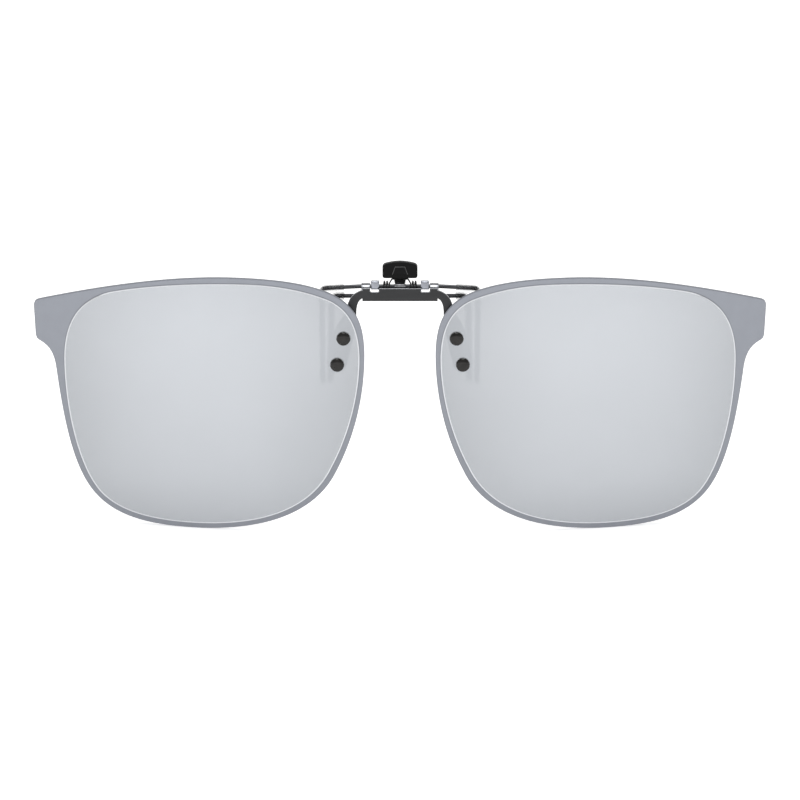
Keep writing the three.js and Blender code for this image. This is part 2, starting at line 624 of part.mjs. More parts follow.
const rightLens = lens();
const rightSpring = torsionSpring();
const frontSleeve = prongSleeve(FRONT_WIRE_CORNERS, FRONT_SLEEVE_R, FRONT_WIRE_R);
const rearSleeve = prongSleeve(REAR_WIRE_CORNERS, REAR_SLEEVE_R, WIRE_R);
for (const side of SIDES) {
  const word = side < 0 ? 'left' : 'right';
  lensCarrier.add(mesh(`lens_${word}`, onSide(rightLens, side), FINISH.lens));
  clip.add(mesh(`torsion_spring_${word}`, onSide(rightSpring, side), FINISH.spring));
  clip.add(mesh(`front_sleeve_${word}`, onSide(frontSleeve, side), FINISH.clear));
  lever.add(mesh(`rear_sleeve_${word}`, onSide(rearSleeve, side), FINISH.clear));
  for (const [place, height] of [[RIVET_PLACES[0], 'upper'], [RIVET_PLACES[1], 'lower']]) {
    lensCarrier.add(mesh(`rivet_${height}_${word}`, onSide(rivet(place), side), FINISH.rivet));
    lensCarrier.add(mesh(`bushing_${height}_${word}`, onSide(bushing(place), side), FINISH.clear));
    lensCarrier.add(mesh(`washer_${height}_${word}`, onSide(washer(place), side), FINISH.clear));
  }
}
clipOn.add(lensCarrier, clip, lever);

export default clipOn;
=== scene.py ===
"""Flip-up clip-on sunglasses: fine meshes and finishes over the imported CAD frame, in a plain white studio.

Sizes are in millimetres and are counted from the middle of the axle, as X to the right, Y to the rear and
Z up. place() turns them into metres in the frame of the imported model.
"""

import json
import logging
import math
from dataclasses import dataclass, field
from enum import Enum
from typing import Iterable, Optional, Sequence

import bmesh
import bpy
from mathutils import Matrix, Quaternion, Vector


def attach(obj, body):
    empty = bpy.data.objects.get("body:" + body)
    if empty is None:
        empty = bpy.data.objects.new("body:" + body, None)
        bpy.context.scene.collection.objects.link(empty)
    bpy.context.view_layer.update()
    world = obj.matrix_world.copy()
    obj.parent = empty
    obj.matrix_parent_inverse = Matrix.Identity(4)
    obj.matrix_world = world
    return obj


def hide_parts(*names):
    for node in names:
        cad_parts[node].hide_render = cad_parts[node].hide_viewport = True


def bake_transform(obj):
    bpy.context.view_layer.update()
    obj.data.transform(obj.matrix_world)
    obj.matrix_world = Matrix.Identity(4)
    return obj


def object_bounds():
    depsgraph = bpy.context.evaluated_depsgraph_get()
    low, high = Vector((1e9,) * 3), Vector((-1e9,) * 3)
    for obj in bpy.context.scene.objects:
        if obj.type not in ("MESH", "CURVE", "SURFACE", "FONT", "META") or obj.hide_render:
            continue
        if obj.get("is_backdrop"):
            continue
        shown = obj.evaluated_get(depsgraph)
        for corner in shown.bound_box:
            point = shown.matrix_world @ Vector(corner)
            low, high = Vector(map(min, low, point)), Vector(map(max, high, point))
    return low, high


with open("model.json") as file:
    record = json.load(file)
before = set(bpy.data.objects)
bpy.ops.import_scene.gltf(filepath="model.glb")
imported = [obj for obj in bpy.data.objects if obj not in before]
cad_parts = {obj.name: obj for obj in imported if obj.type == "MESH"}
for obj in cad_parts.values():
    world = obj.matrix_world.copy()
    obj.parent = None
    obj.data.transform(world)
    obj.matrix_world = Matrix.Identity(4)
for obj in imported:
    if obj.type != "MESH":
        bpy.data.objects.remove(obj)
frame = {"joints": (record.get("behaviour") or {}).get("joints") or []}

logging.basicConfig(level=logging.INFO, format="%(name)s: %(message)s")
log = logging.getLogger("clip_on")

Pair = tuple[float, float]
Triple = tuple[float, float, float]

MM = 0.001
CAD_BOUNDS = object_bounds()
AXLE = Vector(frame["joints"][0]["pos_m"])
BORE = 0.44
CLEAR_GAP = 0.03


class Side(Enum):
    """The two sides, as seen from the front, with the sign of X."""

    LEFT = -1
    RIGHT = 1

    @property
    def word(self) -> str:
        """The side's name, as the nodes spell it."""
        return self.name.lower()


class Body(Enum):
    """The bodies that pieces ride on."""

    CLIP = "clip"
    LEVER = "lever"
    LENSES = "lens_carrier"


class Along(Enum):
    """The axis that a flat outline is extruded along."""

    X = "x"
    Y = "y"

    def point(self, a: float, b: float, depth: float) -> Vector:
        """The point at outline coordinates (a, b) and a depth along the axis."""
        if self is Along.X:
            return Vector((depth, a, b))
        return Vector((a, depth, b))


def place(point: Sequence[float]) -> Vector:
    """Turns millimetres from the axle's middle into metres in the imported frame."""
    return AXLE + Vector(point) * MM


def feed(tree: bpy.types.NodeTree, node: bpy.types.Node, values: dict) -> bpy.types.Node:
    """Sets the inputs of a node.

    Args:
        tree: The tree that the node stands in.
        node: The node.
        values: For each input's name or number, a plain value or another node's output socket.

    Returns:
        The same node.
    """
    for key, value in values.items():
        if isinstance(value, bpy.types.NodeSocket):
            tree.links.new(value, node.inputs[key])
        else:
            node.inputs[key].default_value = value
    return node


def add_node(tree: bpy.types.NodeTree, kind: str, values: dict, operation: Optional[str] = None) -> bpy.types.Node:
    """Adds a shader node.

    Args:
        tree: The tree that it is added to.
        kind: The node's type, without its prefix.
        values: Its inputs, as feed() takes them.
        operation: The operation of a maths node.

    Returns:
        The new node.
    """
    node = tree.nodes.new(f"ShaderNode{kind}")
    if operation:
        node.operation = operation
    return feed(tree, node, values)


# ---- Finishes ----

LENS_LOW, LENS_HIGH = -50.4, 1.5  # Z of the lenses' lowest and highest edges, the ends of the painted shade towards the foot
PAINTED_SHADE_CENTRE_X = 38.0  # distance from the middle plane of the place on each lens that the painted side shade leaves brightest
PAINTED_SHADE_REACH = 40.0  # distance at which the painted side shade takes its full share
RELIEF_DEPTH = 0.02

@dataclass(frozen=True)
class Finish:
    """A surface finish, made of nodes: a base colour that drifts a little and may hold painted shade, a roughness that
    varies and a relief.

    Attributes:
        name: Name of the material.
        slot: The record's material slot; not used.
        colour: Linear base colour.
        roughness: Middle roughness.
        metallic: 0 for plastics, 1 for bare metal.
        drift: Share by which the colour varies.
        drift_scale: Noise cells per metre of that variation.
        smear: How much the roughness varies.
        relief: Strength of the bump.
        relief_scale: Noise cells per metre of the bump.
        stretch: Scale of the noise along X, Y and Z, which draws it out into brush marks.
        alpha: Opacity of a thin coat.
        transmission: Share of light let through a clear body.
        ior: Index of refraction.
        gloss: Level of the plain reflection; 0.5 is that of the index of refraction.
        fade: Painted shade: share of the colour that a coat loses 40 mm sideways from the brightest place of its lens.
        foot: Painted shade: share of the colour that is left at the lenses' lowest edge.
    """

    name: str
    slot: str
    colour: Triple
    roughness: float
    metallic: float = 0.0
    drift: float = 0.06
    drift_scale: float = 400.0
    smear: float = 0.05
    relief: float = 0.05
    relief_scale: float = 6000.0
    stretch: Triple = (1.0, 1.0, 1.0)
    alpha: float = 1.0
    transmission: float = 0.0
    ior: float = 1.5
    gloss: float = 0.5
    # painted shade on the lens coats: darker sideways and towards the lenses' lowest edge
    fade: float = 0.0
    foot: float = 1.0

    def material(self) -> bpy.types.Material:
        """Returns the material of this finish, made the first time that it is asked for."""
        known = bpy.data.materials.get(self.name)
        if known:
            return known
        material = bpy.data.materials.new(self.name)
        material.use_nodes = True
        tree = material.node_tree
        shader = tree.nodes["Principled BSDF"]
        feed(tree, shader, {"Metallic": self.metallic, "IOR": self.ior, "Specular IOR Level": self.gloss,
                            "Alpha": self.alpha, "Transmission Weight": self.transmission})
        self._paint(tree, shader)
        return material

    def _noise(self, tree: bpy.types.NodeTree, scale: float) -> bpy.types.NodeSocket:
        """Adds a noise in object space and returns its value.

        Args:
            tree: The material's node tree.
            scale: Noise cells per metre.

        Returns:
            The noise's output socket.
        """
        where = add_node(tree, "TexCoord", {}).outputs["Object"]
        mapping = add_node(tree, "Mapping", {"Vector": where, "Scale": self.stretch})
        noise = add_node(tree, "TexNoise", {"Vector": mapping.outputs["Vector"], "Scale": scale, "Detail": 3.0})
        return noise.outputs["Fac"]

    def _faded(self, tree: bpy.types.NodeTree, colour: bpy.types.NodeSocket) -> bpy.types.NodeSocket:
        """Paints shade into a colour: darker sideways and downwards from the brightest place of each lens.

        Args:
            tree: The material's node tree.
            colour: The output socket of the colour.

        Returns:
            The output socket of the faded colour.
        """
        where = add_node(tree, "TexCoord", {}).outputs["Object"]
        axes = add_node(tree, "SeparateXYZ", {"Vector": where})
        height = add_node(tree, "MapRange", {
            "Value": axes.outputs["Z"], "From Min": place((0, 0, LENS_LOW)).z, "From Max": place((0, 0, LENS_HIGH)).z,
            "To Min": self.foot})
        value = where
        steps = (("ABSOLUTE", None), ("SUBTRACT", place((PAINTED_SHADE_CENTRE_X, 0, 0))), ("MULTIPLY", (1.0, 0.0, 0.0)),
                 ("LENGTH", None))
        for operation, second in steps:
            values = {0: value, 1: second} if second else {0: value}
            step = add_node(tree, "VectorMath", values, operation)
            value = step.outputs["Value" if operation == "LENGTH" else "Vector"]
        steps = (("DIVIDE", PAINTED_SHADE_REACH * MM), ("POWER", 2.0), ("MULTIPLY", -self.fade), ("ADD", 1.0))
        for operation, second in steps:
            value = add_node(tree, "Math", {0: value, 1: second}, operation).outputs["Value"]
        for share in (value, height.outputs["Result"]):
            colour = add_node(tree, "VectorMath", {0: colour, "Scale": share}, "SCALE").outputs["Vector"]
        return colour

    def _paint(self, tree: bpy.types.NodeTree, shader: bpy.types.Node) -> None:
        """Links colour, roughness and relief to the shader.

        Args:
            tree: The material's node tree.
            shader: The material's surface shader.
        """
        ramp = add_node(tree, "ValToRGB", {"Fac": self._noise(tree, self.drift_scale)})
        first, last = ramp.color_ramp.elements
        first.position, last.position = 0.3, 0.7
        first.color = (*[c * (1 - self.drift) for c in self.colour], 1.0)
        last.color = (*[min(1.0, c * (1 + self.drift)) for c in self.colour], 1.0)
        colour = ramp.outputs["Color"]
        # painted shade: the lens coats darken sideways and towards the lenses' lowest edge
        if self.fade or self.foot < 1:
            colour = self._faded(tree, colour)
        spread = add_node(tree, "MapRange", {
            "Value": self._noise(tree, 0.6 * self.drift_scale), "To Min": max(0.02, self.roughness - self.smear),
            "To Max": min(1.0, self.roughness + self.smear)})
        feed(tree, shader, {"Base Color": colour, "Roughness": spread.outputs["Result"]})
        if self.relief > 0:
            bump = add_node(tree, "Bump", {
                "Strength": self.relief, "Distance": RELIEF_DEPTH * MM,
                "Height": self._noise(tree, self.relief_scale)})
            feed(tree, shader, {"Normal": bump.outputs["Normal"]})


# painted reflection shade: the mirror coat is darker sideways and towards the lenses' lowest edge, where its reflection
# is dimmer
MIRROR = Finish("mirror_coat", "lens", (0.55, 0.572, 0.605), 0.2, 0.95, drift=0.012, drift_scale=60, smear=0.03,
                relief=0.0, alpha=0.9, fade=0.4, foot=0.755)
# the chamfer at the mirror's edge is modelled; its lighter colour is a painted highlight
MIRROR_RIM = Finish("mirror_rim", "lens", (0.66, 0.675, 0.7), 0.3, 0.8, drift=0.02, relief=0.0)
# painted shade: the frosted border darkens towards the lenses' lowest edge
BORDER = Finish("frosted_border", "lens", (0.315, 0.332, 0.374), 0.5, 0.1, drift=0.02, relief=0.08,
                relief_scale=9000, foot=0.75)
# painted shade: the step down from the mirror to the border, and a thin band of border beside it, are darker
GROOVE_PAINTED_SHADE = Finish("border_groove_painted_shade", "lens", (0.23, 0.242, 0.27), 0.5, 0.1, drift=0.02, relief=0.0)
LENS_EDGE = Finish("lens_edge", "lens", (0.22, 0.232, 0.262), 0.35, 0.0, drift=0.03, relief=0.02)
LENS_BACK = Finish("lens_back", "lens", (0.035, 0.037, 0.042), 0.08, 0.0, drift=0.02, relief=0.0, alpha=0.5)
GUNMETAL = Finish("satin_gunmetal", "plate", (0.023, 0.0238, 0.0255), 0.42, 0.0, drift=0.1, drift_scale=700,
                  relief=0.12, relief_scale=9000, stretch=(0.25, 1.0, 1.0), gloss=0.35)
# painted highlight: light metal on the plate's cut edges that look up
EDGE_PAINTED_HIGHLIGHT = Finish("edge_painted_highlight", "plate", (0.45, 0.46, 0.48), 0.3, 0.9, drift=0.1, drift_scale=900, relief=0.1)
# the knuckles' metal is lighter than the plate's: partly wear on the rolls, partly a painted highlight
KNUCKLE_STEEL = Finish("worn_gunmetal_and_highlight", "plate", (0.34, 0.35, 0.37), 0.22, 0.95, drift=0.3, drift_scale=1500,
                       relief=0.1)
NICKEL = Finish("bright_nickel", "steel", (0.3, 0.312, 0.345), 0.18, 1.0, drift=0.12, drift_scale=900,
                relief=0.06, stretch=(1.0, 0.35, 1.0))
LEVER_STEEL = Finish("rolled_steel", "lever_steel", (0.22, 0.223, 0.232), 0.3, 1.0, drift=0.5, drift_scale=1600,
                     relief=0.15)
DARK_NICKEL = Finish("dark_nickel", "wire", (0.06, 0.061, 0.065), 0.16, 1.0, drift=0.15, drift_scale=900,
                     relief=0.04, stretch=(0.3, 1.0, 1.0))
SPRING_STEEL = Finish("black_spring_wire", "spring_steel", (0.012, 0.012, 0.0125), 0.25, 0.4, drift=0.15,
                      relief=0.05, gloss=0.4)
RIVET_STEEL = Finish("dark_rivet", "rivet", (0.02, 0.019, 0.018), 0.16, 0.5, drift=0.25, drift_scale=900,
                     relief=0.06)
CLEAR_NYLON = Finish("clear_nylon", "clear_plastic", (0.86, 0.88, 0.89), 0.16, drift=0.02, relief=0.03,
                     transmission=0.75)
SOFT_SLEEVE = Finish("smoked_silicone", "soft_sleeve", (0.09, 0.092, 0.097), 0.16, drift=0.1, relief=0.05,
                     transmission=0.3, ior=1.45, alpha=0.3)
BLACK_PLASTIC = Finish("black_plastic", "thumb_plastic", (0.004, 0.004, 0.0042), 0.45, drift=0.12,
                       drift_scale=1200, relief=0.25, relief_scale=9000, gloss=0.12)
# the grip's lighter rims: partly rubbed wear, partly a painted highlight on the top and side rims
GRIP_EDGE = Finish("rubbed_plastic_and_highlight", "thumb_plastic", (0.055, 0.055, 0.056), 0.5, drift=0.1, relief=0.2)


# ---- Drawing tools ----


@dataclass
class Draft:
    """A mesh being drawn in millimetres, whose faces each have a finish number."""

    name: str
    points: list[Vector] = field(default_factory=list)
    faces: list[tuple[int, ...]] = field(default_factory=list)
    numbers: list[int] = field(default_factory=list)

    def ring(self, points: Iterable[Vector]) -> list[int]:
        """Adds points and returns their indices."""
        start = len(self.points)
        self.points.extend(points)
        return list(range(start, len(self.points)))

    def face(self, corners: Sequence[int], number: int = 0) -> None:
        """Adds one face."""
        self.faces.append(tuple(corners))
        self.numbers.append(number)

    def bridge(self, first: Sequence[int], second: Sequence[int], number: int = 0) -> None:
        """Joins two closed rings of the same length with quads.

        Args:
            first: Indices of one ring.
            second: Indices of the other.
            number: Finish number.
        """
        for i in range(len(first)):
            j = (i + 1) % len(first)
            self.face((first[i], first[j], second[j], second[i]), number)

    def loft(self, rings: Sequence[Sequence[int]], number: int = 0, capped: bool = True) -> "Draft":
        """Joins rings in turn.

        Args:
            rings: The indices of each ring.
            number: Finish number of the quads between them.
            capped: Whether the first and last rings are closed with one face each.

        Returns:
            This draft.
        """
        for first, second in zip(rings, rings[1:]):
            self.bridge(first, second, number)
        if capped:
            self.face(rings[0][::-1])
            self.face(rings[-1])
        return self

    def fan(self, centre: int, ring: Sequence[int], number: int = 0) -> None:
        """Closes a ring with triangles about a centre point."""
        for i, index in enumerate(ring):
            self.face((centre, index, ring[(i + 1) % len(ring)]), number)

    def take(self, other: "Draft") -> "Draft":
        """Adds another draft's points and faces to this one, and returns this one.

        Args:
            other: The draft that is added.

        Returns:
            This draft.
        """
        shift = len(self.points)
        self.points.extend(other.points)
        self.faces.extend(tuple(i + shift for i in face) for face in other.faces)
        self.numbers.extend(other.numbers)
        return self

    def mirrored(self) -> "Draft":
        """A copy on the other side of the middle plane."""
        points = [Vector((-p.x, p.y, p.z)) for p in self.points]
        return Draft(self.name, points, list(self.faces), list(self.numbers))

    def on(self, side: Side) -> "Draft":
        """This draft of a right-hand piece, or its mirror image for the left side."""
        return self if side is Side.RIGHT else self.mirrored()

    def painted(self, number: int) -> "Draft":
        """Gives every face one finish number, and returns this draft."""
        self.numbers = [number] * len(self.faces)
        return self

    def make(self, finishes: Sequence[Finish], body: Optional[Body], nodes: Sequence[str] = (),
             crease: float = 35.0) -> bpy.types.Object:
        """Makes the Blender object and dresses it.

        Args:
            finishes: The finishes that the face numbers count through.
            body: The body that it rides on, or None for a piece that is attached to none.
            nodes: The CAD nodes that it stands for.
            crease: Angle in degrees above which an edge is shown sharp.

        Returns:
            The new object.
        """
        mesh = bpy.data.meshes.new(self.name)
        mesh.from_pydata([tuple(place(p)) for p in self.points], [], self.faces)
        for finish in finishes:
            mesh.materials.append(finish.material())
        mesh.polygons.foreach_set("material_index", self.numbers)
        work = bmesh.new()
        work.from_mesh(mesh)
        bmesh.ops.recalc_face_normals(work, faces=work.faces)
        work.to_mesh(mesh)
        work.free()
        mesh.polygons.foreach_set("use_smooth", [True] * len(mesh.polygons))
        mesh.set_sharp_from_angle(angle=math.radians(crease))
        piece = bpy.data.objects.new(self.name, mesh)
        bpy.context.scene.collection.objects.link(piece)
        if body:
            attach(piece, body.value)
        if nodes:
            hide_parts(*nodes)
        log.info("%s: %d faces", self.name, len(mesh.polygons))
        return piece


@dataclass
class Outline:
    """A closed flat outline, drawn as a pen goes round it."""

    points: list[Vector] = field(default_factory=list)

    def line(self, *ends: Pair) -> "Outline":
        """Draws straight lines to each end in turn."""
        self.points.extend(Vector(end) for end in ends)
        return self

    def curve(self, first: Pair, second: Pair, end: Pair,
              steps: int = 24) -> "Outline":
        """Draws a cubic Bezier curve.

        Args:
            first: The first control point.
            second: The second control point.
            end: Where the curve ends.
            steps: Number of chords.

        Returns:
            This outline.
        """
        start, a, b, c = self.points[-1].copy(), Vector(first), Vector(second), Vector(end)
        for i in range(1, steps + 1):
            t = i / steps
            s = 1 - t
            self.points.append(s**3 * start + 3 * s * s * t * a + 3 * s * t * t * b + t**3 * c)
        return self

    def arc(self, centre: Pair, radius: float, start: float, end: float,
            steps: int = 10) -> "Outline":
        """Draws an arc between two angles in degrees about a centre.

        Args:
            centre: The arc's centre.
            radius: Its radius.
            start: First angle.
            end: Last angle.
            steps: Number of chords.

        Returns:
            This outline.
        """
        for i in range(steps + 1):
            angle = math.radians(start + (end - start) * i / steps)
            self.points.append(Vector(centre) + radius * Vector((math.cos(angle), math.sin(angle))))
        return self

    def closed(self) -> "Outline":
        """Drops points that lie on each other and turns the outline anticlockwise."""
        kept: list[Vector] = []
        for point in self.points:
            if not kept or (point - kept[-1]).length > 1e-4:
                kept.append(point)
        if (kept[0] - kept[-1]).length <= 1e-4:
            kept.pop()
        area = sum(kept[i - 1].x * kept[i].y - kept[i].x * kept[i - 1].y for i in range(len(kept)))
        self.points = kept if area > 0 else kept[::-1]
        return self

    def both_sides(self) -> "Outline":
        """Adds the mirror image of a right half, which starts and ends at the middle."""
        left = [Vector((-p.x, p.y)) for p in reversed(self.points)]
        return Outline(self.points + left).closed()

    def inset(self, distance: float) -> list[Vector]:
        """The outline's points, each moved inwards by a small distance.

        Args:
            distance: How far; less than 0 is outwards.

        Returns:
            The moved points.
        """
        moved = []
        count = len(self.points)
        for i, point in enumerate(self.points):
            before = (point - self.points[i - 1]).normalized()
            after = (self.points[(i + 1) % count] - point).normalized()
            inward = Vector((-before.y, before.x)) + Vector((-after.y, after.x))
            inward.normalize()
            share = max(0.4, inward.dot(Vector((-before.y, before.x))))
            moved.append(point + inward * distance / share)
        return moved

    def towards(self, centre: Vector, angle: float) -> Vector:
        """Where a ray from a centre inside the outline, at an angle in radians, meets it.

        Args:
            centre: Where the ray starts.
            angle: The ray's angle.

        Returns:
            The point where it leaves the outline.
        """
        ray = Vector((math.cos(angle), math.sin(angle)))
        best = 0.0
        for i, end in enumerate(self.points):
            start = self.points[i - 1] - centre
            edge = end - centre - start
            cross = ray.x * edge.y - ray.y * edge.x
            if abs(cross) < 1e-12:
                continue
            far = (start.x * edge.y - start.y * edge.x) / cross
            share = (start.x * ray.y - start.y * ray.x) / cross
            if far > 0 and -1e-9 <= share <= 1 + 1e-9:
                best = max(best, far)
        return centre + ray * best

    def spaced(self, count: int) -> list[Vector]:
        """The outline as a number of points at equal distances along it.

        Args:
            count: Number of points.

        Returns:
            The points.
        """
        ends = self.points + [self.points[0]]
        runs = [0.0]
        for i in range(1, len(ends)):
            runs.append(runs[-1] + (ends[i] - ends[i - 1]).length)
        result, k = [], 1
        for i in range(count):
            want = runs[-1] * i / count
            while runs[k] < want:
                k += 1
            share = (want - runs[k - 1]) / (runs[k] - runs[k - 1])
            result.append(ends[k - 1].lerp(ends[k], share))
        return result


def rounded_rectangle(left: float, bottom: float, right: float, top: float, corner: float) -> Outline:
    """A rectangle with round corners."""
    shape = Outline()
    shape.arc((right - corner, bottom + corner), corner, -90, 0)
    shape.arc((right - corner, top - corner), corner, 0, 90)
    shape.arc((left + corner, top - corner), corner, 90, 180)
    shape.arc((left + corner, bottom + corner), corner, 180, 270)
    return shape.closed()


def circle(radius: float, sides: int = 48) -> Outline:
    """A circle about the outline's own origin."""
    return Outline().arc((0, 0), radius, 0, 360, sides).closed()


def prism(name: str, outline: Outline, along: Along, low: float, high: float, rim: float = 0.06,
          edge: int = 0) -> Draft:
    """Extrudes an outline between two depths, with rounded rims.

    Args:
        name: Name of the draft.
        outline: The closed outline.
        along: The axis of extrusion.
        low: Where it starts on the axis.
        high: Where it ends on the axis.
        rim: Radius of the rims.
        edge: Finish number of the sides and rims.

    Returns:
        The solid's draft.
    """
    draft = Draft(name)
    steps = 3
    levels = []
    for i in range(steps + 1):
        angle = math.pi / 2 * i / steps
        levels.append((rim * (1 - math.sin(angle)), low + rim * (1 - math.cos(angle))))
    levels += [(inward, low + high - depth) for inward, depth in reversed(levels)]
    rings = [draft.ring(along.point(p.x, p.y, depth) for p in outline.inset(inward)) for inward, depth in levels]
    return draft.loft(rings, edge)


def bored_roll(name: str, outline: Outline, bore: float, low: float, high: float, rim: float = 0.05) -> Draft:
    """Extrudes an outline along X, with a bore round the axle and rounded rims.

    Args:
        name: Name of the draft.
        outline: Closed outline in Y and Z, all of which can be seen from the axle.
        bore: Radius of the bore.
        low: Where it starts along X.
        high: Where it ends along X.
        rim: Radius of the rims.

    Returns:
        The knuckle's draft.
    """
    draft = Draft(name)
    sides = 72
    middle = Vector((0.0, 0.0))
    angles = [2 * math.pi * i / sides for i in range(sides)]
    outer = [outline.towards(middle, angle) for angle in angles]
    levels = [(rim, low), (0.3 * rim, low + 0.3 * rim), (0, low + rim)]
    levels += [(inward, low + high - depth) for inward, depth in reversed(levels)]
    rings = []
    for inward, depth in levels:
        rings.append(draft.ring(Along.X.point(*(p * (1 - inward / p.length)), depth) for p in outer))
    for radius, depth in ((bore, high - 0.5 * rim), (bore, low + 0.5 * rim)):
        mouth = high if depth > (low + high) / 2 else low
        flare = [Vector((math.cos(a), math.sin(a))) * (radius + 0.4 * rim) for a in angles]
        throat = [Vector((math.cos(a), math.sin(a))) * radius for a in angles]
        pair = [draft.ring(Along.X.point(p.x, p.y, mouth) for p in flare),
                draft.ring(Along.X.point(p.x, p.y, depth) for p in throat)]
        rings.extend(pair if mouth == high else pair[::-1])
    return draft.loft([*rings, rings[0]], capped=False)


def lathe(name: str, profile: Sequence[Pair], x: float, z: float, closed: bool = False,
          sides: int = 48) -> Draft:
    """Revolves a profile about a line along Y.

    Args:
        name: Name of the draft.
        profile: (radius, Y) pairs; an open profile starts and ends at radius 0.
        x: X of the line.
        z: Z of the line.
        closed: Whether the profile closes on itself, round a bore.
        sides: Number of sides.

    Returns:
        The turned draft.
    """
    draft = Draft(name)
    rings = []
    for radius, y in profile:
        if radius == 0:
            rings.append(draft.ring([Vector((x, y, z))]))
            continue
        turn = (2 * math.pi * i / sides for i in range(sides))
        rings.append(draft.ring(Vector((x + radius * math.cos(a), y, z + radius * math.sin(a))) for a in turn))
    pairs = list(zip(rings, rings[1:])) + ([(rings[-1], rings[0])] if closed else [])
    for first, second in pairs:
        if len(first) == 1:
            draft.fan(first[0], second)
        elif len(second) == 1:
            draft.fan(second[0], first)
        else:
            draft.bridge(first, second)
    return draft


@dataclass
class Route:
    """The middle line of a wire, as close stations, with a frame at each that turns as little as it can."""

    stations: list[Vector]

    @classmethod
    def bent(cls, corners: Sequence[Sequence[float]], radius: float, step: float = 4.0) -> "Route":
        """A route of straight runs, bent to one radius at each corner.

        Args:
            corners: The corners, first and last included.
            radius: Radius of the bends.
            step: Angle in degrees between the stations of a bend.

        Returns:
            The route.
        """
        places = [Vector(c) for c in corners]
        stations = [places[0]]
        for before, corner, after in zip(places, places[1:], places[2:]):
            incoming = (corner - before).normalized()
            outgoing = (after - corner).normalized()
            angle = incoming.angle(outgoing)
            count = max(1, math.ceil(math.degrees(angle) / step))
            start = corner - incoming * radius * math.tan(angle / 2)
            axis = incoming.cross(outgoing).normalized()
            centre = start + axis.cross(incoming) * radius
            for i in range(count + 1):
                stations.append(centre + Quaternion(axis, angle * i / count) @ (start - centre))
        stations.append(places[-1])
        return cls(stations)

    def directions(self) -> list[Vector]:
        """The direction at each station."""
        ends = self.stations
        runs = [(b - a).normalized() for a, b in zip(ends, ends[1:])]
        return [runs[0], *((a + b).normalized() for a, b in zip(runs, runs[1:])), runs[-1]]

    def rings(self, draft: Draft, plan: Sequence[tuple[int, float, float]], sides: int) -> list[list[int]]:
        """Adds rings of points round the route.

        Args:
            draft: The draft that they are added to.
            plan: For each ring, its station's number, its radius and its shift along the wire.
            sides: Number of points in a ring.

        Returns:
            The indices of each ring.
        """
        ways = self.directions()
        across = ways[0].orthogonal().normalized()
        frames = []
        for i, way in enumerate(ways):
            if i:
                across = ways[i - 1].rotation_difference(way) @ across
            frames.append((way, across.copy(), way.cross(across)))
        rings = []
        for station, radius, shift in plan:
            way, right, up = frames[station]
            centre = self.stations[station] + way * shift
            turn = (2 * math.pi * i / sides for i in range(sides))
            rings.append(draft.ring(centre + radius * (math.cos(a) * right + math.sin(a) * up) for a in turn))
        return rings

    def bar(self, name: str, radius: float, sides: int = 24) -> Draft:
        """A solid round bar along the route, with rounded ends.

        Args:
            name: Name of the draft.
            radius: Radius of the bar.
            sides: Number of sides.

        Returns:
            The bar's draft.
        """
        last = len(self.stations) - 1
        dome = [(radius * math.sin(a), radius * math.cos(a)) for a in (0.35, 0.8, 1.25)]
        plan = [(0, r, -0.3 * s) for r, s in dome] + [(i, radius, 0.0) for i in range(last + 1)]
        plan += [(last, r, 0.3 * s) for r, s in reversed(dome)]
        draft = Draft(name)
        return draft.loft(self.rings(draft, plan, sides))

    def sleeve(self, name: str, radius: float, bore: float, sides: int = 32) -> Draft:
        """A soft tube along the route with a bore, a round lip at its mouth and a domed end.

        Args:
            name: Name of the draft.
            radius: Outer radius.
            bore: Radius of the bore.
            sides: Number of sides.

        Returns:
            The sleeve's draft.
        """
        last = len(self.stations) - 1
        wall = radius - bore
        lip = [(bore + wall * (0.5 - 0.5 * math.cos(a)), -0.45 * wall * math.sin(a)) for a in (0.5, 1.1, 1.6, 2.2, 2.7)]
        dome = [(radius * math.cos(a), radius * math.sin(a)) for a in (0.25, 0.5, 0.75, 1.0, 1.25, 1.45)]
        plan = [(i, bore, 0.0) for i in range(last, -1, -1)]
        plan += [(0, r, s) for r, s in lip]
        plan += [(i, radius, 0.0) for i in range(last + 1)]
        plan += [(last, r, s) for r, s in dome]
        draft = Draft(name)
        return draft.loft(self.rings(draft, plan, sides))


# ---- Lenses ----


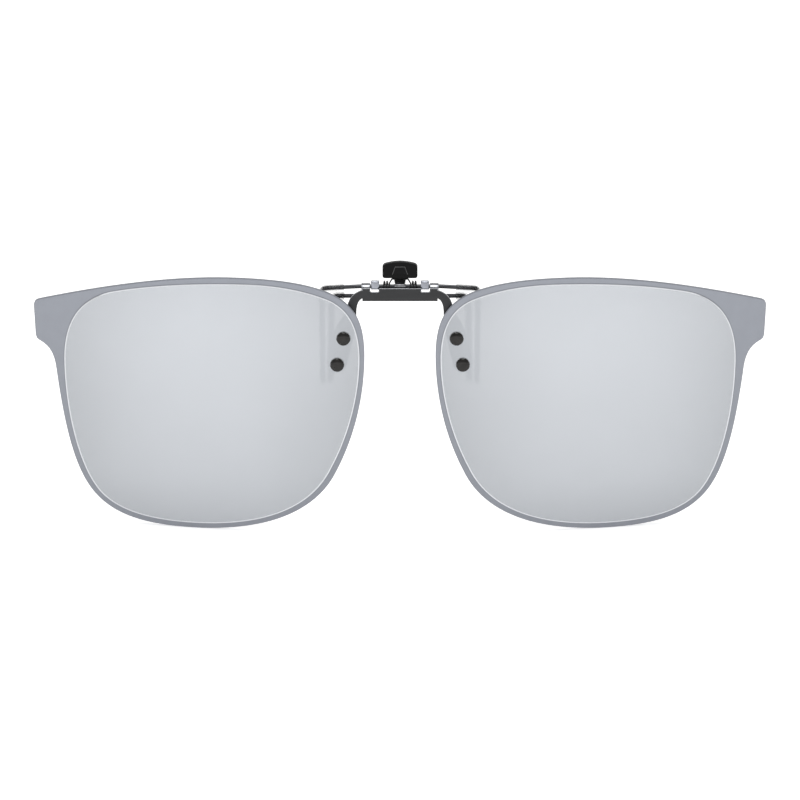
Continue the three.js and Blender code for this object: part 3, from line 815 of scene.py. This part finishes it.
@dataclass
class Lenses:
    """Two mirrored plates cut from one shallow sphere, each with a frosted border a step below the mirror."""

    radius: float = 175.0
    front: float = -3.45
    apex: float = -14.0
    thickness: float = 1.1
    step: float = 0.12
    samples: int = 420
    middle: Pair = (38.0, -24.0)

    def depth(self, x: float, z: float, behind: float = 0.0) -> float:
        """Y of the surface that lies a distance behind the front one, at a place on the front view."""
        r = self.radius - behind
        return self.front + self.radius - math.sqrt(r * r - x * x - (z - self.apex) ** 2)

    @staticmethod
    def outline() -> Outline:
        """The right lens's edge, with the lug at its outer top corner."""
        shape = Outline().line((32.5, 1.5))
        shape.curve((24.5, 1.5), (18.6, 0.85), (14.0, -0.95))
        shape.curve((9.1, -3.0), (7.0, -6.4), (7.0, -13.4))
        shape.curve((7.0, -20.7), (8.7, -29.2), (12.5, -36.9))
        shape.curve((16.7, -46.3), (27.4, -50.4), (41.5, -50.4))
        shape.curve((49.6, -50.4), (56.6, -49.5), (61.0, -44.7))
        shape.curve((65.5, -39.9), (67.2, -29.6), (68.5, -19.7))
        shape.curve((68.8, -16.7), (69.4, -14.6), (72.0, -13.45))
        shape.curve((72.55, -13.2), (72.7, -12.8), (72.75, -12.1), 8)
        shape.line((73.05, -6.5))
        shape.curve((73.1, -5.8), (72.7, -5.35), (72.0, -5.15), 8)
        shape.curve((58.0, -1.1), (44.5, 1.5), (32.5, 1.5), 40)
        return shape.closed()

    @staticmethod
    def mirror_outline() -> Outline:
        """The edge between the mirror and the frosted border."""
        shape = Outline().line((30.0, 0.4))
        shape.curve((24.0, 0.4), (18.6, -0.5), (14.0, -2.3))
        shape.curve((9.8, -4.2), (7.95, -8.1), (7.95, -14.0))
        shape.curve((7.95, -21.0), (10.0, -29.4), (13.5, -36.3))
        shape.curve((17.7, -45.7), (28.1, -49.35), (41.3, -49.35))
        shape.curve((48.9, -49.35), (55.6, -48.4), (59.6, -44.6))
        shape.curve((64.4, -40.0), (66.95, -27.0), (66.95, -17.0))
        shape.curve((66.95, -9.2), (63.8, -4.5), (57.5, -2.5))
        shape.curve((49.0, -0.45), (39.0, 0.4), (30.0, 0.4), 32)
        return shape.closed()

    def draft(self, name: str) -> Draft:
        """The right lens, drawn as rings from its middle over the front, round the edge and back."""
        middle = Vector(self.middle)
        edge = Outline(self.outline().spaced(self.samples))
        mirror = self.mirror_outline()
        line = Outline([mirror.towards(middle, math.atan2(p.y - middle.y, p.x - middle.x)) for p in edge.points])
        draft = Draft(name)

        def ring(places: Sequence[Vector], behind: float) -> list[int]:
            """Adds a ring on one of the lens's spheres."""
            return draft.ring(Vector((p.x, self.depth(p.x, p.y, behind), p.y)) for p in places)

        def between(first: Sequence[Vector], second: Sequence[Vector], share: float) -> list[Vector]:
            """The places at a share of the way from one ring to another."""
            return [a.lerp(b, share) for a, b in zip(first, second)]

        centre = [middle] * len(edge.points)
        face = line.inset(0.34)
        plan = [(ring(between(centre, face, i / 24), 0.0), 0) for i in range(1, 25)]
        plan.append((ring(line.inset(0.24), 0.0), 0))
        # the chamfer at the mirror's edge: lighter coat, a painted highlight
        plan.append((ring(line.inset(0.03), 0.03), 1))
        # the step down to the border and its foot: darker, a painted shade
        plan.append((ring(line.inset(-0.03), 0.1), 2))
        foot = line.inset(-0.14)
        plan.append((ring(foot, self.step), 2))
        lip = edge.inset(0.12)
        plan.extend((ring(between(foot, lip, i / 6), self.step), 3) for i in range(1, 7))
        plan.append((ring(edge.inset(0.04), self.step + 0.02), 4))
        plan.append((ring(edge.points, self.step + 0.08), 4))
        plan.append((ring(edge.points, self.thickness - 0.1), 4))
        plan.append((ring(edge.inset(0.08), self.thickness), 4))
        inner = edge.inset(0.3)
        plan.append((ring(inner, self.thickness), 5))
        plan.extend((ring(between(inner, centre, i / 20), self.thickness), 5) for i in range(1, 20))
        for (first, _), (second, number) in zip(plan, plan[1:]):
            draft.bridge(first, second, number)
        for rings, behind, number in ((plan[0][0], 0.0, 0), (plan[-1][0], self.thickness, 5)):
            hub = draft.ring([Vector((middle.x, self.depth(middle.x, middle.y, behind), middle.y))])
            draft.fan(hub[0], rings, number)
        return draft

    def build(self) -> None:
        """Makes both lenses."""
        finishes = (MIRROR, MIRROR_RIM, GROOVE_PAINTED_SHADE, BORDER, LENS_EDGE, LENS_BACK)
        for side in Side:
            draft = self.draft(f"mirror_lens_{side.word}")
            draft.on(side).make(finishes, Body.LENSES, [f"lens_{side.word}"])


@dataclass
class Rivets:
    """Four domed rivets, each with a clear bushing in the lens and a clear washer before the pad."""

    lenses: Lenses
    plate: "BridgePlate"
    head_radius: float = 1.33
    head_height: float = 0.72
    shank: float = 0.6
    flange: float = 0.22
    flange_radius: float = 1.42
    bushing_radius: float = 0.85
    washer_radius: float = 1.7
    tail_radius: float = 0.95

    def rivet(self, name: str, x: float, z: float) -> Draft:
        """A rivet: domed head, shank, and a tail that is formed over behind the pad.

        Args:
            name: Name of the draft.
            x: X of its axis.
            z: Z of its axis.

        Returns:
            The rivet's draft.
        """
        base = self.lenses.depth(x, z) - self.flange
        crown = self.head_height - 0.14
        profile = [(0.0, base - self.head_height)]
        for i in range(1, 15):
            angle = math.pi / 2 * i / 14
            profile.append((self.head_radius * math.sin(angle), base - 0.14 - crown * math.cos(angle) ** 0.9))
        profile += [(self.head_radius, base - 0.04), (self.head_radius - 0.04, base), (self.shank, base)]
        tail, wide = self.plate.back + 0.02, self.tail_radius
        profile += [(self.shank, tail), (wide - 0.02, tail), (wide + 0.02, tail + 0.05), (wide, tail + 0.2)]
        for i in range(1, 6):
            angle = math.pi / 2 * i / 5
            profile.append((wide * math.cos(angle) if i < 5 else 0.0, tail + 0.2 + 0.18 * math.sin(angle)))
        return lathe(name, profile, x, z)

    def bushing(self, name: str, x: float, z: float) -> Draft:
        """A clear top-hat bushing, whose flange lies on the lens under the rivet's head.

        Args:
            name: Name of the draft.
            x: X of its axis.
            z: Z of its axis.

        Returns:
            The bushing's draft.
        """
        front = self.lenses.depth(x, z) - self.flange + 0.02
        rear = self.lenses.depth(x, z, self.lenses.thickness) - CLEAR_GAP
        bore = self.shank + CLEAR_GAP
        wide, narrow, step = self.flange_radius, self.bushing_radius, front + 0.32
        profile = [(bore, front), (wide - 0.04, front), (wide, front + 0.04), (wide, step), (narrow, step),
                   (narrow, rear), (bore, rear)]
        return lathe(name, profile, x, z, closed=True)

    def washer(self, name: str, x: float, z: float) -> Draft:
        """A clear washer between the lens and its pad.

        Args:
            name: Name of the draft.
            x: X of its axis.
            z: Z of its axis.

        Returns:
            The washer's draft.
        """
        front = self.lenses.depth(x, z, self.lenses.thickness) - 0.08
        rear = self.plate.front - 0.02
        bore = self.shank + CLEAR_GAP
        wide = self.washer_radius
        profile = [(bore, front), (wide, front), (wide, rear - 0.04), (wide - 0.04, rear), (bore, rear)]
        return lathe(name, profile, x, z, closed=True)

    def build(self) -> None:
        """Makes every rivet, bushing and washer."""
        for side in Side:
            for height, (x, z) in (("upper", self.plate.upper), ("lower", self.plate.lower)):
                mark = f"{height}_{side.word}"
                at = side.value * x
                self.rivet(f"domed_rivet_{mark}", at, z).make([RIVET_STEEL], Body.LENSES, [f"rivet_{mark}"])
                self.bushing(f"clear_bushing_{mark}", at, z).make([CLEAR_NYLON], Body.LENSES, [f"bushing_{mark}"])
                self.washer(f"clear_washer_{mark}", at, z).make([CLEAR_NYLON], Body.LENSES, [f"washer_{mark}"])


@dataclass
class BridgePlate:
    """The stamped plate that carries both lenses, with two knuckles rolled round the axle."""

    front: float = -1.55
    back: float = -1.1
    bar_half: float = 7.4
    bar_top: float = -0.13
    bar_bottom: float = -2.68
    knuckle_inner: float = 5.87
    knuckle_outer: float = 7.6
    knuckle_radius: float = 0.66
    notch_inner: float = 4.1
    notch_bottom: float = -0.84
    notch_corner: float = 0.25
    lit_slope: float = 0.3
    pad: float = 1.95
    upper: Pair = (11.13, -9.86)
    lower: Pair = (12.38, -15.13)

    def outline(self) -> Outline:
        """The right half of the stamping: bar, curved arm and riveting pad."""
        (ux, uz), (lx, lz) = self.upper, self.lower
        lean = math.atan2(lx - ux, uz - lz)
        out_x, out_z = self.pad * math.cos(lean), self.pad * math.sin(lean)
        shape = Outline().line((0, self.bar_bottom), (self.bar_half, self.bar_bottom), (self.bar_half, -2.15))
        shape.curve((8.1, -2.4), (8.55, -3.3), (8.58, -5.0))
        shape.curve((8.6, -7.0), (8.85, -8.8), (ux - out_x, uz - out_z))
        shape.line((lx - out_x, lz - out_z))
        shape.arc((lx, lz), self.pad, 180 + math.degrees(lean), 360 + math.degrees(lean), 24)
        shape.line((ux + out_x, uz + out_z))
        shape.curve((12.5, -6.9), (10.8, -5.6), (10.35, -3.9))
        shape.curve((10.15, -2.1), (9.3, -1.05), (self.bar_half, -0.45))
        shape.line((self.bar_half, self.bar_top), (self.knuckle_inner, self.bar_top))
        corner = self.notch_corner
        shape.arc((self.knuckle_inner - corner, self.notch_bottom + corner), corner, 0, -90, 6)
        shape.arc((self.notch_inner + corner, self.notch_bottom + corner), corner, -90, -180, 6)
        shape.line((self.notch_inner, self.bar_top), (0, self.bar_top))
        return shape

    def knuckle(self) -> Draft:
        """The right knuckle: the plate's top edge rolled back round the axle."""
        r = self.knuckle_radius
        front = self.front + 0.02
        shape = Outline().line((front, -1.0), (self.back, -1.0))
        shape.curve((self.back, -0.8), (-0.7, -r), (0, -r))
        shape.arc((0, 0), r, -90, 90, 24)
        shape.curve((-0.8, r), (front, 0.4), (front, -0.25))
        return bored_roll("knuckle", shape.closed(), BORE, self.knuckle_inner, self.knuckle_outer)

    def build(self) -> None:
        """Makes the plate, with a painted highlight of light metal only on the cut edges that look up."""
        plate = prism("bridge", self.outline().both_sides(), Along.Y, self.front, self.back, 0.08, edge=2)
        # painted highlight: only the cut edges that look up keep the light metal
        for i, face in enumerate(plate.faces):
            run = plate.points[face[1]] - plate.points[face[0]]
            if plate.numbers[i] == 2 and run.x > -self.lit_slope * run.length:
                plate.numbers[i] = 0
        # the knuckles take the lighter metal, partly wear and partly a painted highlight
        knuckle = self.knuckle().painted(1)
        plate.take(knuckle).take(knuckle.mirrored())
        plate.make([GUNMETAL, KNUCKLE_STEEL, EDGE_PAINTED_HIGHLIGHT], Body.LENSES, ["bridge_plate"])


# ---- Wires, sleeves and springs ----


@dataclass
class Prongs:
    """The two bent wires that grip the spectacles, and the soft sleeves on their legs."""

    bend: float = 1.35
    rear_radius: float = 0.4
    front_radius: float = 0.42
    rear_sleeve: float = 0.63
    front_sleeve: float = 0.78
    sleeve_start: float = 11.1
    rear: tuple[Triple, ...] = (
        (8.0, 0.0, 0.0), (14.9, 0.0, -0.36), (15.4, 2.75, -1.3), (15.25, 2.75, -19.6))
    front: tuple[Triple, ...] = ((8.2, 0.14, -1.94), (13.45, 0.6, -2.03), (13.7, 0.6, -18.8))

    def wire(self, name: str, corners: Sequence[Triple], radius: float) -> Draft:
        """A whole wire from the corners of its right half."""
        left = [(-x, y, z) for x, y, z in reversed(corners)]
        return Route.bent([*left, *corners], self.bend).bar(name, radius)

    def sleeve(self, name: str, corners: Sequence[Triple], radius: float,
               wire: float) -> Draft:
        """The sleeve of the right leg.

        Args:
            name: Name of the draft.
            corners: Corners of the wire's right half.
            radius: Outer radius.
            wire: Radius of the wire.

        Returns:
            The sleeve's draft.
        """
        first, second = Vector(corners[0]), Vector(corners[1])
        mouth = first.lerp(second, (self.sleeve_start - first.x) / (second.x - first.x))
        end = Vector(corners[-1])
        end += (end - Vector(corners[-2])).normalized() * 0.12
        return Route.bent([mouth, *corners[1:-1], end], self.bend).sleeve(name, radius, wire + 0.05)

    def build(self) -> None:
        """Makes both wires and all four sleeves."""
        self.wire("rear_wire", self.rear, self.rear_radius).make([DARK_NICKEL], Body.LEVER, ["rear_prong_wire"])
        self.wire("front_wire", self.front, self.front_radius).make([DARK_NICKEL], Body.CLIP, ["front_prong_wire"])
        rows = (("rear", self.rear, self.rear_sleeve, self.rear_radius, Body.LEVER),
                ("front", self.front, self.front_sleeve, self.front_radius, Body.CLIP))
        for word, corners, radius, wire, body in rows:
            for side in Side:
                draft = self.sleeve(f"soft_sleeve_{word}_{side.word}", corners, radius, wire)
                draft.on(side).make([SOFT_SLEEVE], body, [f"{word}_sleeve_{side.word}"])


@dataclass
class Springs:
    """The two torsion springs that push the thumb pad back."""

    wire: float = 0.15
    coil: float = 0.85
    centre: Pair = (0.22, 0.12)
    inner: float = 2.05
    outer: float = 3.3
    start: float = 132.0
    end: float = 952.0
    bend: float = 0.16
    hook: tuple[Triple, ...] = ((0.7, 0.04, 1.45), (1.6, 0.04, 1.45), (1.8, 0.04, 1.1))
    foot: Pair = (1.6, -2.02)
    turned_within: float = 1.95

    def on_coil(self, degrees: float) -> Vector:
        """The point of the coil's middle line at an angle from its start.

        Args:
            degrees: Angle about the coil, from the rear.

        Returns:
            The point.
        """
        angle = math.radians(degrees)
        share = (degrees - self.start) / (self.end - self.start)
        x = self.inner + (self.outer - self.inner) * share
        y, z = self.centre
        return Vector((x, y + self.coil * math.cos(angle), z + self.coil * math.sin(angle)))

    def route(self) -> Route:
        """A hook before the pad's neck, a leg, the open coil and a foot that stands on the saddle."""
        hook = Route.bent([*self.hook, self.on_coil(self.start)], self.bend, 12).stations
        coil = [self.on_coil(self.start + 10 * i) for i in range(1, round((self.end - self.start) / 10))]
        return Route([*hook, *coil, self.on_coil(self.end), Vector((self.outer, *self.foot))])

    def build(self) -> None:
        """Makes both springs, which are attached to no body."""
        for side in Side:
            draft = self.route().bar(f"coil_spring_{side.word}", self.wire, 12).on(side)
            spring = draft.make([SPRING_STEEL], None, [f"torsion_spring_{side.word}"])
            still = place((side.value * self.outer, 0, 0))
            turned = place((side.value * self.turned_within, 0, 0))
            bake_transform(spring)


# ---- Clip body and lever ----


@dataclass
class ClipBody:
    """The stamped saddle that rests on the spectacles' bridge, with two square-rolled knuckles."""

    web: float = -0.85
    sheet: float = 0.45
    web_top: float = -1.05
    seat: float = -2.65
    seat_back: float = 2.5
    half: float = 4.0
    corner: float = 1.0
    knuckle_inner: float = 4.1
    knuckle_outer: float = 5.7
    knuckle_depth: float = 0.8
    knuckle_low: float = -0.56
    knuckle_high: float = 1.13
    neck_inner: float = 3.5
    rim: float = 0.07

    def saddle(self) -> Draft:
        """The web and the seat as one bent strip, with its rear corners rounded off."""
        bend = self.sheet + 0.1
        rows: list[tuple[float, float, float, float]] = [(self.web, self.web_top, 180.0, self.half)]
        for i in range(9):
            angle = 180 + 90 * i / 8
            y = self.web + bend + bend * math.cos(math.radians(angle))
            z = self.seat + bend + bend * math.sin(math.radians(angle))
            rows.append((y, z, angle, self.half))
        for i in range(9):
            turn = math.pi / 2 * i / 8
            y = self.seat_back - self.corner + self.corner * math.sin(turn)
            rows.append((y, self.seat, 270.0, self.half - self.corner + self.corner * math.cos(turn)))
        draft = Draft("saddle")
        rings = []
        rim = self.rim
        for y, z, angle, half in rows:
            inward = -Vector((0, math.cos(math.radians(angle)), math.sin(math.radians(angle))))
            base = Vector((0, y, z))
            section = [(half - rim, 0), (half, rim), (half, self.sheet - rim), (half - rim, self.sheet)]
            section += [(-a, b) for a, b in reversed(section)]
            rings.append(draft.ring(base + Vector((a, 0, 0)) + inward * b for a, b in section))
        return draft.loft(rings)

    def build(self) -> None:
        """Makes the clip body."""
        body = self.saddle()
        deep = self.knuckle_depth
        square = rounded_rectangle(-deep, self.knuckle_low, deep, self.knuckle_high, 0.38)
        knuckle = bored_roll("knuckle", square, BORE, self.knuckle_inner, self.knuckle_outer, 0.09)
        strip = rounded_rectangle(self.web, self.web_top - self.sheet, self.web + 1.5, -0.3, 0.12)
        neck = prism("neck", strip, Along.X, self.neck_inner, self.knuckle_inner + 0.1, 0.04)
        for piece in (knuckle, neck):
            body.take(piece).take(piece.mirrored())
        body.make([NICKEL], Body.CLIP, ["clip_body"])


@dataclass
class Lever:
    """The steel lever, rolled round the axle, and the black thumb pad moulded over its leaf."""

    head_half: float = 3.45
    head_bottom: float = 1.64
    head_side: float = 3.7
    head_crown: float = 4.87
    head_front: float = -0.45
    head_back: float = 1.7
    grip_low: float = 2.35
    grip_high: float = 4.02
    neck_low: float = 1.1
    neck_front: float = 0.26
    leaf_half: float = 0.95
    leaf_high: float = 3.7

    def head_outline(self) -> Outline:
        """The right half of the pad's head, seen from the front."""
        half, side, crown, corner = self.head_half, self.head_side, self.head_crown, 0.5
        shape = Outline().line((0, self.head_bottom), (half - corner, self.head_bottom))
        shape.arc((half - corner, self.head_bottom + corner), corner, -90, 0)
        shape.line((half, side))
        shape.curve((half, side + 0.3), (half - 0.13, side + 0.55), (half - 0.5, side + 0.72), 16)
        shape.curve((2.2, crown - 0.21), (1.1, crown - 0.02), (0, crown), 16)
        return shape

    def pad(self) -> Draft:
        """The thumb pad: crowned head, raised grip, flared neck and stem."""
        relief = 0.2
        head = prism("pad", self.head_outline().both_sides(), Along.Y, self.head_front + relief, self.head_back, 0.16)
        low, high = self.grip_low, self.grip_high
        grip = Outline().line((0, low), (1.62, low), (1.0, high), (0, high)).both_sides()
        raised = prism("grip", grip, Along.Y, self.head_front, 0.4, 0.14, edge=1)
        # rubbing and painted highlight: only the grip's rims above its lowest edge take the lighter plastic
        raised.numbers = [
            number if max(raised.points[i].z for i in face) > low + 0.15 else 0
            for face, number in zip(raised.faces, raised.numbers)]
        head.take(raised)
        low, high = self.neck_low, self.head_bottom + 0.1
        neck = Outline().line((0, low), (1.1, low), (1.75, high), (0, high)).both_sides()
        head.take(prism("neck", neck, Along.Y, self.neck_front, 1.15, 0.08))
        stem = rounded_rectangle(-1.1, 0.62, 1.1, 1.4, 0.06)
        return head.take(prism("stem", stem, Along.Y, self.neck_front, 0.9, 0.08))

    def build(self) -> None:
        """Makes the lever plate and the thumb pad."""
        plate = bored_roll("lever", circle(0.57), 0.42, -1.08, 1.08)
        leaf = rounded_rectangle(-self.leaf_half, 0.0, self.leaf_half, self.leaf_high, 0.3)
        plate.take(prism("leaf", leaf, Along.Y, 0.37, 0.63, 0.04))
        plate.make([LEVER_STEEL], Body.LEVER, ["lever_plate"])
        self.pad().make([BLACK_PLASTIC, GRIP_EDGE], Body.LEVER, ["thumb_pad"])


# ---- Studio ----


@dataclass
class Studio:
    """A white floor that glows a little, soft light from all round, a softbox and the camera."""

    elevation: float = 13.0
    distance: float = 1000.0
    view_width: float = 158.2
    target: float = -22.956
    floor_colour: float = 0.9
    floor_glow: float = 0.5
    sky: float = 0.45
    horizon: float = 1.4
    box_radiance: float = 4.0

    def floor(self) -> None:
        """Lays the floor under the lenses' lowest edge."""
        low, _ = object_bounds()
        mesh = bpy.data.meshes.new("floor")
        half = 6.0
        z = low.z - 0.00002
        mesh.from_pydata([(-half, -half, z), (half, -half, z), (half, half, z), (-half, half, z)], [], [(0, 1, 2, 3)])
        paper = bpy.data.materials.new("white_paper")
        paper.use_nodes = True
        shader = paper.node_tree.nodes["Principled BSDF"]
        white = self.floor_colour
        feed(paper.node_tree, shader, {
            "Base Color": (white, white, white, 1.0), "Roughness": 0.9, "Specular IOR Level": 0.0,
            "Emission Color": (1.0, 1.0, 1.0, 1.0), "Emission Strength": self.floor_glow})
        mesh.materials.append(paper)
        floor = bpy.data.objects.new("floor", mesh)
        bpy.context.scene.collection.objects.link(floor)
        floor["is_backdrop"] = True

    def world(self) -> None:
        """Lights the scene from all round, with a bright horizon."""
        world = bpy.data.worlds.new("studio")
        bpy.context.scene.world = world
        world.use_nodes = True
        tree = world.node_tree
        where = add_node(tree, "TexCoord", {}).outputs["Generated"]
        axes = add_node(tree, "SeparateXYZ", {"Vector": where})
        height = add_node(tree, "MapRange", {})
        height.interpolation_type = "SMOOTHSTEP"
        feed(tree, height, {"Value": axes.outputs["Z"], "From Min": 0.1, "From Max": 0.35,
                            "To Min": self.horizon, "To Max": self.sky})
        feed(tree, tree.nodes["Background"], {"Color": (1.0, 1.0, 1.0, 1.0), "Strength": height.outputs["Result"]})

    def softbox(self) -> None:
        """Hangs a wide soft light a metre overhead."""
        width, depth = 0.5, 0.9
        data = bpy.data.lights.new("softbox", "AREA")
        data.shape = "RECTANGLE"
        data.size, data.size_y = width, depth
        data.energy = self.box_radiance * math.pi * width * depth
        light = bpy.data.objects.new("softbox", data)
        light.location = (0.0, -0.1, 1.0)
        bpy.context.scene.collection.objects.link(light)

    def camera(self) -> None:
        """Sets up the camera in front of the lenses and a little above them."""
        tilt = math.radians(self.elevation)
        back = Vector((0, -math.cos(tilt), math.sin(tilt)))
        data = bpy.data.cameras.new("camera")
        data.sensor_width = 36.0
        data.lens = data.sensor_width * self.distance / self.view_width
        data.clip_start, data.clip_end = 0.05, 30.0
        camera = bpy.data.objects.new("camera", data)
        camera.location = place((0, 0, self.target)) + back * self.distance * MM
        camera.rotation_mode = "QUATERNION"
        camera.rotation_quaternion = (-back).to_track_quat("-Z", "Y")
        bpy.context.scene.collection.objects.link(camera)
        bpy.context.scene.camera = camera

    def build(self) -> None:
        """Sets up the floor, the lights and the camera."""
        self.floor()
        self.world()
        self.softbox()
        self.camera()
        bpy.context.scene.view_settings.view_transform = "Standard"


def write_sizes() -> None:
    boxes = {name: [list(corner) for corner in box] for name, box in (("cad", CAD_BOUNDS), ("visual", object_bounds()))}


def main() -> None:
    """Builds every sub-assembly in order, and then the studio."""
    lenses, plate = Lenses(), BridgePlate()
    for part in (lenses, Rivets(lenses, plate), plate, Prongs(), Springs(), ClipBody(), Lever()):
        part.build()
        log.info("built %s", type(part).__name__)
    Studio().build()
    write_sizes()


if __name__ == "__main__":
    main()
